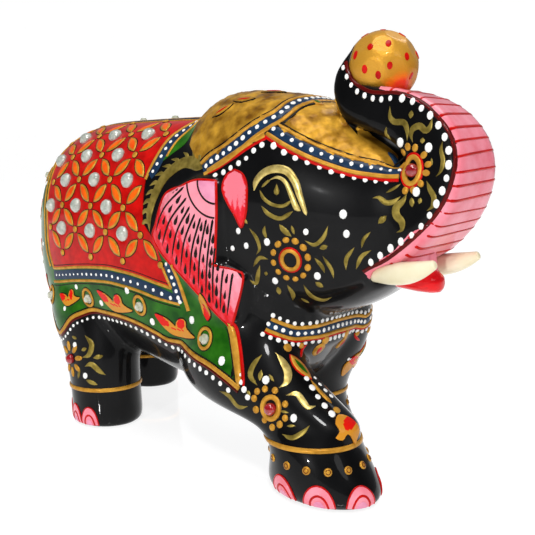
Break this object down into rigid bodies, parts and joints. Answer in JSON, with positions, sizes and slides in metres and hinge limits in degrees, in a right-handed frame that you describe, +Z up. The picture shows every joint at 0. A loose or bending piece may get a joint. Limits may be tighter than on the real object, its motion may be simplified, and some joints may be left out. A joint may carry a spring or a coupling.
{
  "type": "carved wooden elephant",
  "caption": "Carved and painted wooden elephant walking with its trunk raised over its forehead, a ball in the curl, short tusks and glass stones set in the paint.",
  "frame": {"origin": "on the ground, under the centre of the elephant's bounding box", "axes": "+X forward, the way the elephant walks, +Y to its left, +Z up; the right side faces -Y"},
  "size_m": [0.1723, 0.0666, 0.127],
  "materials": {
    "lacquered_wood": "painted decoration under gloss lacquer over black",
    "gilt_paint": "gold paint with red spots, gloss lacquer",
    "ivory_paint": "ivory coloured gloss paint",
    "pearl_glass": "foil backed milky glass cabochon",
    "clear_glass": "foil backed faceted glass",
    "red_glass": "foil backed red glass cabochon"
  },
  "bodies": {
    "root": {"carved_body": "lacquered_wood", "ball": "gilt_paint", "tusk_right": "ivory_paint", "tusk_left": "ivory_paint", "saddle_pearls_right_1": "pearl_glass", "saddle_pearls_right_2": "pearl_glass", "saddle_pearls_right_3": "pearl_glass", "saddle_pearls_right_4": "pearl_glass", "saddle_pearls_right_5": "pearl_glass", "border_rhinestones_right": "clear_glass", "rump_rhinestones_right": "clear_glass", "trunk_ruby_right": "red_glass", "shoulder_ruby_right": "red_glass", "hind_ruby_right": "red_glass", "saddle_pearls_left_1": "pearl_glass", "saddle_pearls_left_2": "pearl_glass", "saddle_pearls_left_3": "pearl_glass", "saddle_pearls_left_4": "pearl_glass", "saddle_pearls_left_5": "pearl_glass", "border_rhinestones_left": "clear_glass", "rump_rhinestones_left": "clear_glass", "trunk_ruby_left": "red_glass", "shoulder_ruby_left": "red_glass", "hind_ruby_left": "red_glass", "spine_rhinestones": "clear_glass"}
  },
  "joints": []
}
